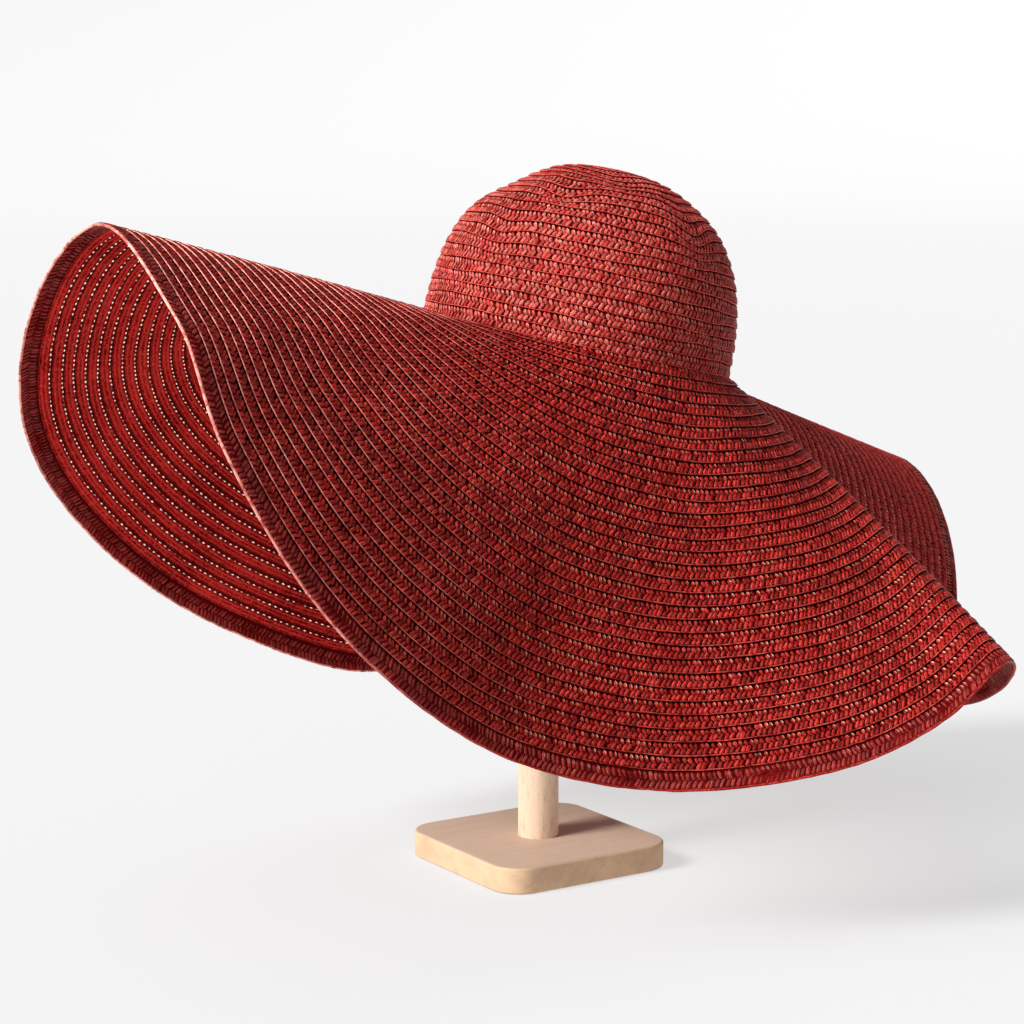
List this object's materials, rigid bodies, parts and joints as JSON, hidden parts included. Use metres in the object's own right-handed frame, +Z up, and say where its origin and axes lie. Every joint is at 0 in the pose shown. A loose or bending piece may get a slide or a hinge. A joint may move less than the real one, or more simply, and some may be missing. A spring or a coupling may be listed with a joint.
{
  "type": "straw hat on wooden stand",
  "caption": "Very wide-brimmed floppy hat of sewn straw plait, with one side of the brim raised and the rest drooping, resting askew on a plain wooden post with a square foot.",
  "frame": {"origin": "middle of the square foot's underside, on the surface that the stand rests on", "axes": "+Z up along the post; +X to the right and -Y towards a viewer who sees the raised side of the brim at the left"},
  "size_m": [0.5688, 0.5463, 0.4207],
  "materials": {
    "crown_straw": "dyed straw plait sewn row over row, slight sheen",
    "brim_straw": "dyed straw plait sewn row over row, slight sheen",
    "edge_straw": "dyed straw plait, turned over and sewn",
    "base_wood": "sanded pale beech, unvarnished",
    "post_wood": "sanded pale beech, unvarnished",
    "rest_wood": "sanded pale beech, unvarnished"
  },
  "bodies": {
    "root": {"crown": "crown_straw", "brim": "brim_straw", "brim_edge": "edge_straw", "stand_base": "base_wood", "stand_post": "post_wood", "hat_rest": "rest_wood"}
  },
  "joints": []
}
